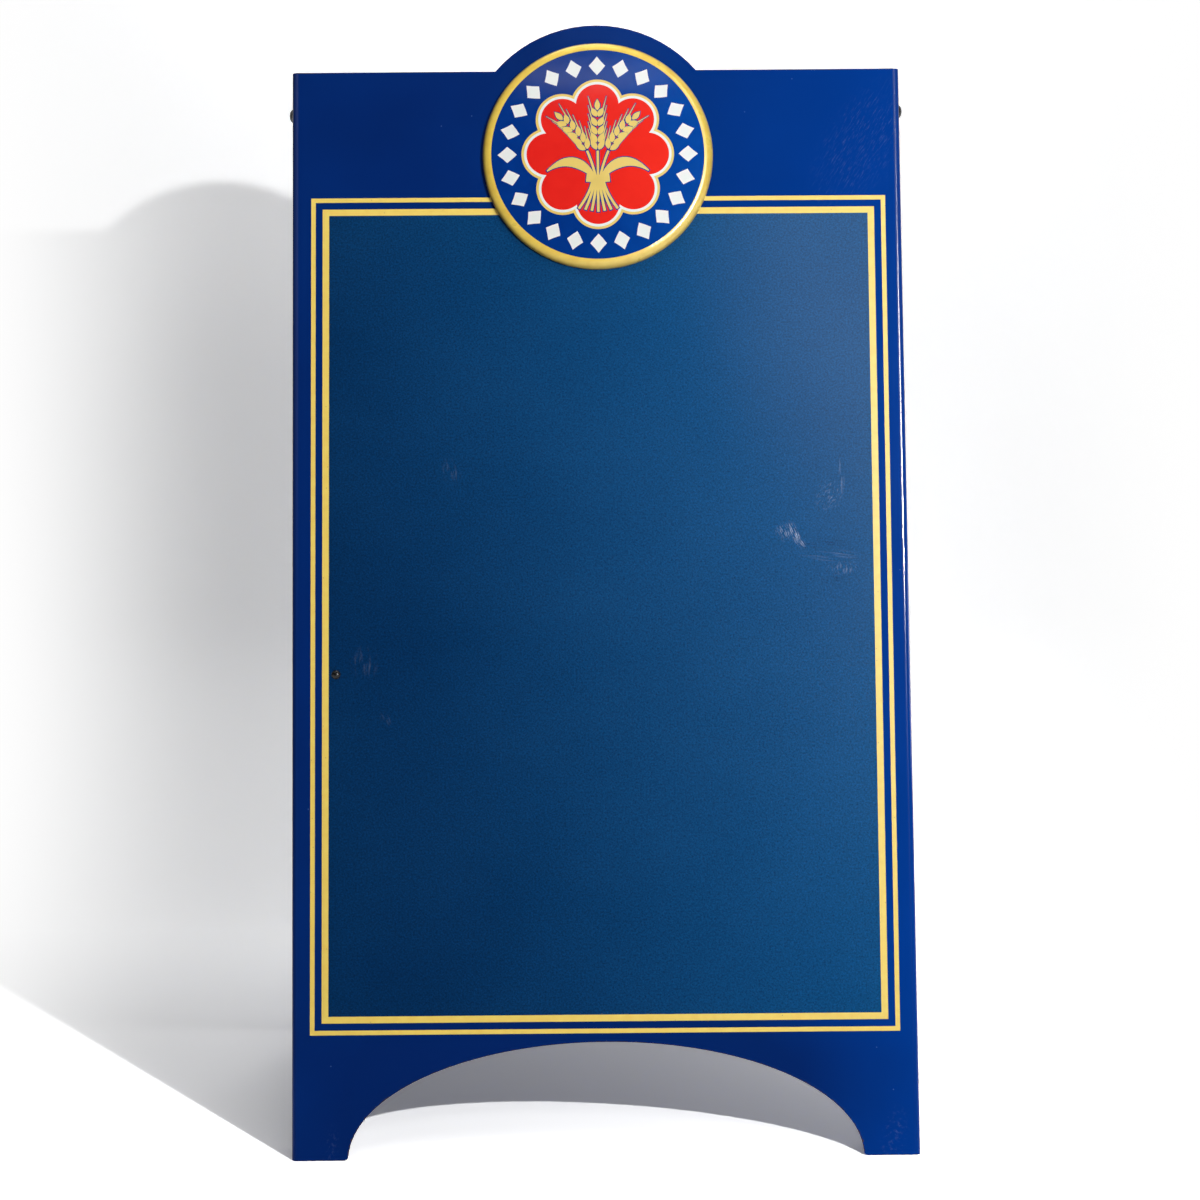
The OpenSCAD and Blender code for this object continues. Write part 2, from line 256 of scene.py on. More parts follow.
def broken_up(add, place, mottle, toward, start, end, share):
    """Mask that rises along a direction on the board, broken up by a mottle."""
    slope = rising(add, place, toward, start, end, **SOFT)
    return add("Mix", {"Factor": share, "A": mottle, "B": slope}, data_type="FLOAT")


def stronger_of(add, masks):
    """The strongest of several masks at each place."""
    top = masks[0]
    for mask in masks[1:]:
        top = add("Math", {0: top, 1: mask}, "MAXIMUM")
    return top


def cut_edge_mask(add, place, parts):
    """Mask of a narrow band along the board's cut edges: head, shoulders, arch, feet and flanges.

    Each of these gives how far a place lies past it, in millimetres, and the furthest counts.
    """
    from_head = add("VectorMath", {0: place, 1: (0, HEAD_UP, 0)}, "SUBTRACT")
    flat = add("VectorMath", {0: from_head, 1: (1, 1, 0)}, "MULTIPLY")
    reach = add("VectorMath", {0: flat}, "LENGTH")
    past_head = add("Math", {0: reach, 1: HEAD_R}, "SUBTRACT")
    past_shoulder = add("Math", {0: parts.outputs["Y"], 1: SHOULDER_UP}, "SUBTRACT")
    outline = add("Math", {0: past_head, 1: past_shoulder}, "MINIMUM")
    round_scale = (ARCH_H / ARCH_HALF_W, 1, 0)
    arch_place = add("VectorMath", {0: place, 1: round_scale}, "MULTIPLY")
    arch_reach = add("VectorMath", {0: arch_place}, "LENGTH")
    inside_arch = add("Math", {0: ARCH_H, 1: arch_reach}, "SUBTRACT")
    below_foot = add("Math", {0: 0.0, 1: parts.outputs["Y"]}, "SUBTRACT")
    past_flange = add("Math", {0: -FLANGE_DEPTH, 1: parts.outputs["Z"]}, "SUBTRACT")
    nearest = stronger_of(add, [outline, inside_arch, below_foot, past_flange])
    # The band is up to 1 mm wide and ragged at a 6 mm step, which is what shows at this distance
    ragged = add("TexNoise", {"Vector": place, "Scale": 1 / 6, "Detail": 4, "Roughness": 0.7})
    feeds = {"Value": ragged, "From Min": 0.35, "From Max": 0.65, "To Min": -0.1, "To Max": -1.0}
    start = add("MapRange", feeds)
    over = add("Math", {0: nearest, 1: start}, "SUBTRACT")
    return add("MapRange", {"Value": over, "From Max": 0.4})


def stoving_enamel(side, colours):
    """Navy stoving enamel, sprayed on sheet steel and baked.

    It gives a deep gloss with a faint orange peel, a slow wave of the sheet under it, pale
    specks and hairlines from use, brown bare steel along the cut edges, and painted shade that
    darkens the navy towards the board's left and over the arch.
    """
    material, add = open_finish(f"{side}_navy_stoving_enamel")
    place = board_space(add, side)
    parts = add("SeparateXYZ", {"Vector": place})
    # Uneven film of the spray, in clouds about 140 mm across
    cloud, cloud_mask = mottled(add, place, 140, 3)
    # Painted shade, partly broken up by the spray's clouds: the navy darkens towards the board's
    # left and over the arch, where less light falls
    rightward = broken_up(add, place, cloud_mask, toward=(1, 0), start=-120, end=330, share=0.8)
    over_arch, _ = faded_spot(add, place, (20, 60), (330, 150))
    clouds_and_light = add("Math", {0: rightward, 1: over_arch}, "SUBTRACT", use_clamp=True)
    tone = add("Mix", {0: clouds_and_light, FIRST: colours.enamel_deep, SECOND: colours.enamel}, **RGBA)
    pale = [
        # Chips to the pale primer, under 1 mm across and some 130 mm apart
        specks(add, place, 130, rim=0.006, core=0.003, strength=0.3),
        # Rubbing marks by the right shoulder, as fine short hairs
        rubbed_patch(add, place, (262, 985), (48, 95), turn=-32, strokes=34, strength=0.16, runs=9),
        # Scuffs low on the feet
        rubbed_patch(add, place, (275, 16), (40, 16), turn=80, strokes=9, strength=0.16, runs=3),
        rubbed_patch(add, place, (-262, 8), (34, 9), turn=85, strokes=7, strength=0.14, runs=3),
    ]
    marked = add("Mix", {0: stronger_of(add, pale), FIRST: tone, SECOND: colours.enamel_mark}, **RGBA)
    edges = cut_edge_mask(add, place, parts)
    coloured = add("Mix", {0: edges, FIRST: marked, SECOND: colours.bare_edge}, **RGBA)
    # Orange peel of sprayed enamel is about 3 mm from crest to crest and some microns deep. The
    # sheet itself waves by less than a millimetre in 190.
    _, peel_bump = relief(add, place, 3, 2, depth=0.004)
    _, bump = relief(add, place, 190, 1, depth=0.7, under=peel_bump)
    # The gloss follows the clouds of the spray, and is lost where the film is gone
    feeds = {"Value": cloud, "From Min": 0.3, "From Max": 0.7, "To Min": 0.1, "To Max": 0.14}
    gloss = add("MapRange", feeds)
    bare_roughness = 0.3
    roughness = add("Math", {0: edges, 1: bare_roughness, 2: gloss}, "MULTIPLY_ADD")
    # Spray builds up along the crest of each bend, in a band 4 mm wide, and hands polish it there
    across = add("Math", {0: parts.outputs["X"]}, "ABSOLUTE")
    inward = add("Math", {0: across, 1: BEND_CREST}, "SUBTRACT")
    off_crest = add("Math", {0: inward}, "ABSOLUTE")
    crest = add("MapRange", {"Value": off_crest, "From Min": 2.2, "From Max": 1.2})
    # Hands reach the upper half of the bends most
    feeds = {"Value": parts.outputs["Y"], "From Min": 480, "From Max": 820, "To Min": 0.1}
    handled = add("MapRange", feeds, **SOFT)
    polish = add("Math", {0: crest, 1: handled}, "MULTIPLY")
    coat = {"Coat Weight": polish, "Coat Roughness": 0.18, "Coat IOR": 2.0}
    close_finish(add, coloured, roughness, bump, {"IOR": 1.5, "Specular IOR Level": 0.16, **coat})
    return material


def chalkboard_film(side, colours):
    """Slate-blue chalkboard film, a matt vinyl with a fine toothed coat.

    It gives a dull even surface with a visible grain, clouds of wiped chalk dust, painted light
    that pales the film towards the right, a painted sheen in its upper right corner and, where
    someone has written or rubbed, short pale strokes.
    """
    material, add = open_finish(f"{side}_slate_chalkboard_film")
    place = board_space(add, side)
    patch = partial(rubbed_patch, add, place)
    # Where a damp finger took the dust off, and where chalk was rubbed on
    if side == "front":
        bared = [
            patch((208, 784), (8, 18), turn=72, strokes=5, strength=0.8),
            patch((216, 588), (9, 38), turn=84, strokes=6, strength=1.0),
            patch((208, 665), (5, 20), turn=68, strokes=4, strength=0.8),
            patch((225, 553), (9, 22), turn=80, strokes=5, strength=0.8),
        ]
        marks = [
            patch((179, 600), (10, 12), turn=24, strokes=9, strength=0.9, runs=1.6),
            patch((189, 599), (6, 17), turn=22, strokes=6, strength=1.8, runs=1.5),
            patch((194, 590), (5, 11), turn=40, strokes=4, strength=1.1),
            patch((236, 655), (4, 30), turn=-1, strokes=2, strength=0.45),
            patch((224, 636), (18, 22), turn=-32, strokes=9, strength=0.34, runs=4),
            patch((236, 564), (20, 9), turn=8, strokes=9, strength=0.36),
            patch((225, 576), (10, 40), turn=84, strokes=5, strength=0.16),
            patch((-230, 476), (18, 20), turn=0, strokes=5, strength=0.1),
            patch((-209, 421), (6, 11), turn=25, strokes=3, strength=0.1),
            patch((-145, 663), (12, 16), turn=10, strokes=4, strength=0.1),
        ]
    else:
        bared = [
            patch((-60, 560), (14, 50), turn=75, strokes=6, strength=0.8),
            patch((180, 330), (12, 34), turn=60, strokes=5, strength=0.8),
        ]
        marks = [
            patch((-120, 520), (26, 40), turn=30, strokes=9, strength=0.5),
            patch((150, 700), (16, 34), turn=-25, strokes=6, strength=0.4),
            patch((40, 300), (60, 14), turn=5, strokes=9, strength=0.3),
        ]
    # Dust left by wiping, in long soft clouds, and painted light that pales the film towards the right
    wiped = add("Mapping", {"Vector": place, "Scale": (1 / 170, 1 / 110, 1)})
    cloud = add("TexNoise", {"Vector": wiped, "Scale": 1.0, "Detail": 5, "Roughness": 0.55})
    cloud_mask = add("MapRange", {"Value": cloud, "From Min": 0.3, "From Max": 0.72})
    dust = broken_up(add, place, cloud_mask, toward=(0.9, 0.2), start=-170, end=420, share=0.88)
    dust_and_light_left = add("Math", {0: dust, 1: stronger_of(add, bared)}, "SUBTRACT", use_clamp=True)
    tone = add("Mix", {0: dust_and_light_left, FIRST: colours.film, SECOND: colours.film_dust_and_light}, **RGBA)
    # The coat's tooth is about 0.2 mm. It is drawn at 1.8 mm, the finest that shows.
    tooth, bump = relief(add, place, 1.8, 3, depth=0.12, roughness=0.8)
    feeds = {"Value": tooth, "From Min": 0.25, "From Max": 0.75, "To Min": 0.4, "To Max": 1.6}
    tooth_shade = add("MapRange", feeds)
    grained = add("VectorMath", {0: tone, 1: tooth_shade}, "MULTIPLY")
    # Painted sheen: a faint chalk-pale haze over the upper right corner, where the light glances off
    corner_sheen, _ = faded_spot(add, place, (262, 930), (210, 380))
    sheen_share = 0.05
    marks.append(add("Math", {0: corner_sheen, 1: sheen_share}, "MULTIPLY"))
    feeds = {0: stronger_of(add, marks), FIRST: grained, SECOND: colours.chalk}
    chalked = add("Mix", feeds, clamp_factor=True, **RGBA)
    close_finish(add, chalked, (cloud, 0.3, 0.36), bump, {"IOR": 1.5, "Specular IOR Level": 0.09})
    return material


def border_ink(side, colours):
    """Pale gold screen-printed ink, pulled through a mesh and varnished.

    It gives a flat opaque stripe with a slight gloss, a faint mesh mottle and tiny pinholes.
    """
    material, add = open_finish(f"{side}_pale_gold_screen_ink")
    place = board_space(add, side)
    _, thin = mottled(add, place, 9, 4)
    tone = add("Mix", {0: thin, FIRST: colours.border_gold, SECOND: colours.border_gold_thin}, **RGBA)
    # Pinholes under 0.8 mm, some 30 mm apart
    holes = specks(add, place, 30, rim=0.014, core=0.008, strength=0.8)
    inked = add("Mix", {0: holes, FIRST: tone, SECOND: colours.enamel_deep}, **RGBA)
    mesh, bump = relief(add, place, 1.2, 2, depth=0.02)
    close_finish(add, inked, (mesh, 0.38, 0.46), bump, {"IOR": 1.5, "Specular IOR Level": 0.8})
    return material


def gold_lacquer(side, colours):
    """Gold lacquer on pressed tinplate, roller-coated and stoved.

    It gives a warm gold that goes from cream at the light to a painted brown shade at its turned
    foot, darkest at its upper left, with a clear gloss over it that wear has taken off in part,
    and a faint mottle.
    """
    material, add = open_finish(f"{side}_gold_lacquered_tinplate")
    place = board_space(add, side)
    mottle, thick = mottled(add, place, 14, 4)
    tone = add("Mix", {0: thick, FIRST: colours.rim_gold, SECOND: colours.rim_gold_deep}, **RGBA)
    # Painted shade: the gold darkens to brown towards the shell's foot, from 9 mm to 4 mm above the
    # face, and most at its upper left, away from the light
    parts = add("SeparateXYZ", {"Vector": place})
    low = add("MapRange", {"Value": parts.outputs["Z"], "From Min": 9.0, "From Max": 4.0})
    middle = badge_middle(side)
    shade_side = rising(add, place, toward=(-0.8, 0.6), start=-45, end=75, middle=middle, least=0.1)
    painted_shade = add("Math", {0: low, 1: shade_side}, "MULTIPLY")
    shaded_gold = add("Mix", {0: painted_shade, FIRST: tone, SECOND: colours.rim_shade}, **RGBA)
    _, bump = relief(add, place, 1.5, 3, depth=0.02)
    # Rain and wiping have worn the gloss off the ring's top, and it is whole at its lower right
    glossy = rising(add, place, toward=(0.87, -0.5), start=-40, end=95, middle=middle, least=0.04, **SOFT)
    coat = {"Coat Weight": glossy, "Coat Roughness": 0.25, "Coat IOR": 1.9}
    more = {"Metallic": 0.1, "Specular IOR Level": 0.25, **coat}
    close_finish(add, shaded_gold, (mottle, 0.26, 0.36), bump, more)
    return material


def tinplate_print(side, name, colour, colour_deep):
    """Offset-printed ink under stoved varnish on domed tinplate.

    It gives a clean gloss colour with a slight mottle, painted shade towards the badge's left,
    and a soft reflection that bends with the dome.
    """
    material, add = open_finish(f"{side}_{name}_tinplate_print")
    place = board_space(add, side)
    mottle, mottle_mask = mottled(add, place, 18, 5)
    # Painted shade, partly the ink's mottle: each print darkens towards the badge's left
    clouds_and_light = broken_up(add, place, mottle_mask, toward=(1, 0), start=-50, end=110, share=0.8)
    tone = add("Mix", {0: clouds_and_light, FIRST: colour_deep, SECOND: colour}, **RGBA)
    _, bump = relief(add, place, 5, 2, depth=0.012)
    close_finish(add, tone, (mottle, 0.1, 0.13), bump, {"IOR": 1.5, "Specular IOR Level": 0.2})
    return material


def closed_cell_tape(colours):
    """Closed-cell foam tape, die-cut. It gives a dark matt edge with small open pores."""
    material, add = open_finish("grey_closed_cell_foam_tape")
    pores = add("TexVoronoi", {"Vector": part_space(add), "Scale": 1 / 0.6})
    tone = add("Mix", {0: pores, FIRST: colours.tape_pore, SECOND: colours.tape}, **RGBA)
    bump = add("Bump", {"Height": pores, "Strength": 1.0, "Distance": 0.1 * MM})
    close_finish(add, tone, 0.85, bump)
    return material


def black_enamelled_steel(colours):
    """Black stoved enamel on cold-headed steel.

    It gives small glossy domes with a sharp highlight, and grey dust and wear in fine specks.
    """
    material, add = open_finish("black_enamelled_steel")
    dust, bump = relief(add, part_space(add), 1.2, 5, depth=0.03)
    dusty = add("MapRange", {"Value": dust, "From Min": 0.55, "From Max": 0.75, "To Max": 0.5})
    tone = add("Mix", {0: dusty, FIRST: colours.black_steel, SECOND: colours.black_dust}, **RGBA)
    feeds = {"Value": dust, "From Min": 0.4, "From Max": 0.75, "To Min": 0.16, "To Max": 0.5}
    roughness = add("MapRange", feeds)
    close_finish(add, tone, roughness, bump, {"IOR": 1.5})
    return material


def bright_zinc(colours):
    """Bright zinc plate on drawn and turned steel.

    It gives a pale bluish metal with cloudy tarnish and a fine grain.
    """
    material, add = open_finish("bright_zinc_plated_steel")
    place = part_space(add)
    cloud, tarnished = mottled(add, place, 4, 5, low=0.35)
    tone = add("Mix", {0: tarnished, FIRST: colours.zinc, SECOND: colours.zinc_tarnish}, **RGBA)
    _, bump = relief(add, place, 0.7, 3, depth=0.03)
    close_finish(add, tone, (cloud, 0.25, 0.5), bump, {"Metallic": 1.0})
    return material


def moulded_nylon(colours):
    """Natural nylon, injection-moulded. It gives a milky, slightly waxy white."""
    material, add = open_finish("natural_moulded_nylon")
    cloud, bump = relief(add, part_space(add), 5, 3, depth=0.02)
    tone = add("Mix", {0: cloud, FIRST: colours.nylon, SECOND: colours.nylon_aged}, **RGBA)
    glow_reach = (1.0 * MM, 1.0 * MM, 0.8 * MM)
    more = {"IOR": 1.53, "Subsurface Weight": 0.15, "Subsurface Radius": glow_reach}
    close_finish(add, tone, 0.42, bump, more)
    return material


def studio_paper(colour, gain, lift):
    """Matt background paper. It gives a plain pale ground that keeps the sign's shadow.

    The eye sees it brighter than it throws light, by a gain and a lift, so that it is white
    under lamps that suit the sign. From behind it is clear, so that the sign can be seen from
    all sides.
    """
    material, add = open_finish("white_studio_paper")
    place = add("TexCoord").outputs["Object"]
    fibres = add("TexNoise", {"Vector": place, "Scale": 6.0, "Detail": 3})
    fibre_shade = 0.97
    darker = [fibre_shade * c for c in colour[:3]] + [1.0]
    tone = add("Mix", {0: fibres, FIRST: colour, SECOND: darker}, **RGBA)
    rays = add("LightPath").outputs
    seen = stronger_of(add, [rays["Is Camera Ray"], rays["Is Glossy Ray"], rays["Is Transmission Ray"]])
    brighter = add("Math", {0: rays["Is Camera Ray"], 1: gain - 1, 2: 1.0}, "MULTIPLY_ADD")
    shown = add("VectorMath", {0: tone, "Scale": brighter}, "SCALE")
    paper = add("BsdfDiffuse", {"Color": shown, "Roughness": 1.0})
    strength = add("Math", {0: seen, 1: lift}, "MULTIPLY")
    glow = add("Emission", {"Color": WHITE, "Strength": strength})
    near = add("AddShader", {0: paper, 1: glow})
    # Past the sign's shadow the paper is plain white to the eye, and throws no light back
    far = add("Emission", {"Color": WHITE, "Strength": seen})
    parts = add("SeparateXYZ", {"Vector": place})
    edges = []
    for axis, start, end in (("X", 0.46, 0.84), ("Y", 1.3, 2.4)):
        off = add("Math", {0: parts.outputs[axis]}, "ABSOLUTE")
        edges.append(add("MapRange", {"Value": off, "From Min": start, "From Max": end}, **SOFT))
    ground = add("MixShader", {0: stronger_of(add, edges), 1: near, 2: far})
    clear = add("BsdfTransparent")
    faces = add("NewGeometry").outputs
    sided = add("MixShader", {0: faces["Backfacing"], 1: ground, 2: clear})
    add("OutputMaterial", {"Surface": sided})
    return material


def studio_world():
    """White past the paper's end to the eye, and behind the sign to its gloss too.

    The room in front of the sign is dim, and that is what its gloss shows there.
    """
    dim = (0.07, 0.07, 0.073, 1)
    world = bpy.data.worlds.new("studio_world")
    add = open_tree(world)
    rays = add("LightPath").outputs
    toward = add("TexCoord").outputs["Generated"]
    parts = add("SeparateXYZ", {"Vector": toward})
    behind = add("MapRange", {"Value": parts.outputs["Y"], "From Min": 0.1, "From Max": 0.4})
    gloss = stronger_of(add, [rays["Is Glossy Ray"], rays["Is Transmission Ray"]])
    mirrored = add("Math", {0: gloss, 1: behind}, "MULTIPLY")
    seen = stronger_of(add, [rays["Is Camera Ray"], mirrored])
    shade = add("Mix", {0: seen, FIRST: dim, SECOND: WHITE}, **RGBA)
    ground = add("Background", {"Color": shade, "Strength": 1.0})
    add("OutputWorld", {"Surface": ground})
    return world


def finish_node(node, material):
    """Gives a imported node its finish."""
    for slot in frame["nodes"][node].material_slots:
        slot.material = material


# Mesh building


def piece_from(name, bm, material, smooth=True, outward=True):
    """A new object from a bmesh in world metres, with its faces turned outwards or left as laid."""
    if outward:
        bmesh.ops.recalc_face_normals(bm, faces=bm.faces)
    mesh = bpy.data.meshes.new(name)
    bm.to_mesh(mesh)
    bm.free()
    mesh.polygons.foreach_set("use_smooth", [smooth] * len(mesh.polygons))
    mesh.materials.append(material)
    piece = bpy.data.objects.new(name, mesh)
    bpy.context.scene.collection.objects.link(piece)
    return piece


def dome_height(x, up):
    """Height of the badge's plate above the face, at a place from its middle."""
    return PLATE_EDGE + DOME_RISE - DOME_R + sqrt(DOME_R ** 2 - x ** 2 - up ** 2)


def octofoil(turn, inset=0.0):
    """Radius of the eight-lobed field in a direction: circles round a ring, less an inset."""
    step = 2 * pi / LOBES
    away = (turn + step / 2) % step - step / 2
    lobe_r = LOBE_R - inset
    return LOBE_RING * cos(away) + sqrt(lobe_r ** 2 - (LOBE_RING * sin(away)) ** 2)


def skin_rings(bm, rings):
    """Lays faces between each closed ring of points and the next."""
    for low, high in zip(rings, rings[1:]):
        for i in range(len(low)):
            j = (i + 1) % len(low)
            bm.faces.new((low[i], high[i], high[j], low[j]))


def lay_band(bm, inner, outer, rows=1):
    """A closed band on the plate between two outlines, each a radius for a direction."""
    rings = []
    for row in range(rows + 1):
        part = row / rows
        ring = []
        for i in range(OUTLINE_STEPS):
            turn = 2 * pi * i / OUTLINE_STEPS
            r = inner(turn) * (1 - part) + outer(turn) * part
            ring.append(bm.verts.new((r * sin(turn), r * cos(turn), 0)))
        rings.append(ring)
    skin_rings(bm, rings)
    return rings


def lay_field(bm, outer):
    """A filled field on the plate inside one outline."""
    rows = 8
    hub_share = 0.06
    rings = lay_band(bm, lambda turn: outer(turn) * hub_share, outer, rows)
    hub = bm.verts.new((0, 0, 0))
    for i in range(OUTLINE_STEPS):
        bm.faces.new((hub, rings[0][i], rings[0][(i + 1) % OUTLINE_STEPS]))


def skin_strip(bm, left, right):
    """Lays faces along a strip between its two sides."""
    for i in range(len(left) - 1):
        bm.faces.new((left[i], right[i], right[i + 1], left[i + 1]))


def lay_ribbon(bm, points, widths, grow):
    """A strip of print along a line, with its own width at each point."""
    left = []
    right = []
    last = len(points) - 1
    for i, (x, up) in enumerate(points):
        before = points[max(i - 1, 0)]
        after = points[min(i + 1, last)]
        along = Vector((after[0] - before[0], after[1] - before[1])).normalized()
        half = widths[i] / 2 + grow
        if i == 0:
            x, up = x - along.x * grow, up - along.y * grow
        if i == last:
            x, up = x + along.x * grow, up + along.y * grow
        left.append(bm.verts.new((x - along.y * half, up + along.x * half, 0)))
        right.append(bm.verts.new((x + along.y * half, up - along.x * half, 0)))
    skin_strip(bm, left, right)


def drop_width(part):
    """Share of its full width that a drop has at a part of its length, fullest before its middle."""
    return sin(pi * part ** 0.8)


def lay_grain(bm, x, up, turn, length, width, grow):
    """One barley grain: a drop with its point outwards, lying along a direction."""
    steps = 14
    ring = []
    for i in range(steps):
        a = 2 * pi * i / steps
        part = 0.5 - 0.5 * cos(a)
        across = copysign(width / 2 * drop_width(part), sin(a)) if 0 < part < 1 else 0
        side = Vector((across, part * length - length / 2))
        side += side.normalized() * grow
        place = (
            x + side.x * cos(turn) + side.y * sin(turn),
            up - side.x * sin(turn) + side.y * cos(turn),
            0,
        )
        ring.append(bm.verts.new(place))
    bm.faces.new(ring)


def bend_line(start, middle, end, steps):
    """Points of a smooth bend from start to end that leans towards its middle point."""
    line = []
    for i in range(steps + 1):
        t = i / steps
        weights = ((1 - t) ** 2, 2 * t * (1 - t), t ** 2)
        x = sum(w * p[0] for w, p in zip(weights, (start, middle, end)))
        up = sum(w * p[1] for w, p in zip(weights, (start, middle, end)))
        line.append((x, up))
    return line


def lay_ear(bm, stem, grow):
    """An ear of barley along a line: a pair of grains with awns at each point, and one at its tip."""
    grain_width = 5.8
    grain_lean = radians(30)
    awn_lean = radians(15)
    awn_root = 5
    awn_length = 12
    awn_widths = [1.2, 0.4]
    tip_length = 11.5
    tip_width = 5.6
    tip_reach = 7.5
    last = len(stem) - 1
    for i, (before, here) in enumerate(zip(stem, stem[1:]), start=1):
        turn = atan2(here[0] - before[0], here[1] - before[1])
        # The grains get shorter and closer to the stem towards the tip
        part = i / last
        length = 12.4 - 1.6 * part
        reach = 4.0 - 0.6 * part
        for hand in (-1, 1):
            lean = turn + hand * grain_lean
            x = here[0] + hand * reach * cos(turn)
            up = here[1] - hand * reach * sin(turn)
            lay_grain(bm, x, up, lean, length, grain_width, grow)
            awn = turn + hand * awn_lean
            start = (x + awn_root * sin(lean), up + awn_root * cos(lean))
            end = (start[0] + awn_length * sin(awn), start[1] + awn_length * cos(awn))
            lay_ribbon(bm, [start, end], awn_widths, grow * 0.6)
    # The tip's grain goes on from the last point
    x = here[0] + tip_reach * sin(turn)
    up = here[1] + tip_reach * cos(turn)
    lay_grain(bm, x, up, turn, tip_length, tip_width, grow)


def lay_sheaf(bm, grow):
    """A sheaf of three barley ears, two leaves, a tie and the cut stems."""
    tie_up = -24.0
    stem_width = 2.4
    stalk_width = 2.6
    for hand in (-1, 0, 1):
        root = (10.5 * hand, 3.0)
        tip = (33.0 * hand, 33.0) if hand else (0.0, 42.0)
        stem = bend_line((2.0 * hand, tie_up), (5.0 * hand, -10.0), root, 6)
        lay_ribbon(bm, stem, [stem_width] * len(stem), grow)
        lay_ear(bm, bend_line(root, (17.5 * hand, 18.0), tip, 5), grow)
    leaf_steps = 14
    leaf_widths = [1.2 + 8.8 * drop_width(i / leaf_steps) for i in range(leaf_steps + 1)]
    for hand in (-1, 1):
        leaf = bend_line((3.0 * hand, tie_up), (24.0 * hand, 4.0), (50.0 * hand, -17.0), leaf_steps)
        lay_ribbon(bm, leaf, leaf_widths, grow)
    for i in range(-3, 4):
        stalk = bend_line((1.6 * i, tie_up), (2.2 * i, -38.0), (6.4 * i, -58.0 + 1.1 * abs(i)), 6)
        lay_ribbon(bm, stalk, [stalk_width] * len(stalk), grow)
    lay_ribbon(bm, [(-11.5, tie_up), (0, tie_up - 1.2), (11.5, tie_up)], [8.0, 7.2, 8.0], grow)


def lay_lozenges(bm, count, low, high, half_w):
    """A ring of upright lozenges between two radii, their sides a little hollow."""
    mid = (low + high) / 2
    hollow = 0.004 * mid
    for i in range(count):
        turn = 2 * pi * i / count
        out = Vector((sin(turn), cos(turn)))
        side = Vector((cos(turn), -sin(turn)))
        corners = [out * high, out * mid + side * half_w, out * low, out * mid - side * half_w]
        outline = []
        for near, far in zip(corners, corners[1:] + corners[:1]):
            outline += [near, (near + far) / 2 - out * hollow]
        bm.faces.new([bm.verts.new((p.x, p.y, 0)) for p in outline])


def print_on_plate(side, name, bm, lift, material):
    """Lays flat print on the domed plate, with a skirt down into it, and rides it on its board."""
    sunk = 0.06
    rim_edges = [e for e in bm.edges if len(e.link_faces) == 1]
    for vert in bm.verts:
        vert.co.z = dome_height(vert.co.x, vert.co.y) + lift
    skirt = bmesh.ops.extrude_edge_only(bm, edges=rim_edges)
    for part in skirt["geom"]:
        if isinstance(part, bmesh.types.BMVert):
            part.co.z -= lift + sunk
    middle_x, middle_up = badge_middle(side)
    for vert in bm.verts:
        x, up, out = vert.co
        vert.co = board_point(side, middle_x + x, middle_up + up, out)
    piece = piece_from(f"{side}_badge_{name}", bm, material, smooth=False)
    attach(piece, f"{side}_board")


def lay_wire(bm, path, radius, sides, swell):
    """A closed round wire along a loop of points, with a thicker weld at its first point."""
    rings = []
    count = len(path)
    normal = Vector((0, 0, 1))
    for i, point in enumerate(path):
        along = (path[(i + 1) % count] - path[i - 1]).normalized()
        out = along.cross(normal).normalized()
        here = radius * (1 + swell.get(i, 0.0))
        ring = []
        for j in range(sides):
            a = 2 * pi * j / sides
            ring.append(bm.verts.new(point + (out * cos(a) + normal * sin(a)) * here))
        rings.append(ring)
    skin_rings(bm, rings + rings[:1])
    return [vert for ring in rings for vert in ring]


def link_path(half_length, mid_r, steps):
    """Loop of points round one long link in its own plane, from the middle of a straight side."""
    straight = half_length - mid_r
    side = [straight * i / 4 for i in range(4)]
    bend = [pi * i / steps for i in range(steps + 1)]
    half = [(mid_r, y) for y in side]
    half += [(mid_r * cos(a), straight + mid_r * sin(a)) for a in bend]
    half += [(-mid_r, y) for y in side[:0:-1]]
    return [Vector((turn * x, turn * y, 0)) for turn in (1, -1) for x, y in half]


def add_lamp(name, place, aim, size, watts):
    """A soft oval lamp that looks at a place and isn't seen itself."""
    light = bpy.data.lights.new(name, "AREA")
    light.shape = "ELLIPSE"
    light.size, light.size_y = size
    light.energy = watts
    holder = bpy.data.objects.new(name, light)
    holder.location = place
    holder.rotation_euler = (Vector(aim) - Vector(place)).to_track_quat("-Z", "Y").to_euler()
    holder.visible_camera = False
    bpy.context.scene.collection.objects.link(holder)


# What a user would change


def metres(name, description, default, **more):
    """A length that a user may change."""
    return FloatProperty(name=name, description=description, default=default, unit="LENGTH", **more)


def tint(name, description, code):
    """A colour that a user may change, from its sRGB hex value."""
    more = {"default": linear(code), "size": 4, "subtype": "COLOR"}
    return FloatVectorProperty(name=name, description=description, **more)


class SIGN_PG_sizes(bpy.types.PropertyGroup):
    """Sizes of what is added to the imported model."""

    print_lift: metres(
        "Print Lift", "Height of the badge's printed layers above its plate", 0.00008, precision=6
    )
    lozenges: IntProperty(
        name="Lozenges", description="Number of lozenges in the ring round the badge", default=24, min=6
    )
    lozenge_low: metres("Lozenge Inner Radius", "Radius at the inner points of the lozenges", 0.0795)
    lozenge_high: metres("Lozenge Outer Radius", "Radius at the outer points of the lozenges", 0.0985)
    lozenge_width: metres("Lozenge Width", "Width of a lozenge at its middle", 0.0162)
    wire: metres("Chain Wire", "Thickness of the stay chain's wire", 0.0025)
    link_inside: metres("Link Inside Length", "Clear length inside one link of the stay chain", 0.024)
    links: IntProperty(
        name="Chain Links", description="Number of links in the stay chain, an odd number", default=11, min=3
    )


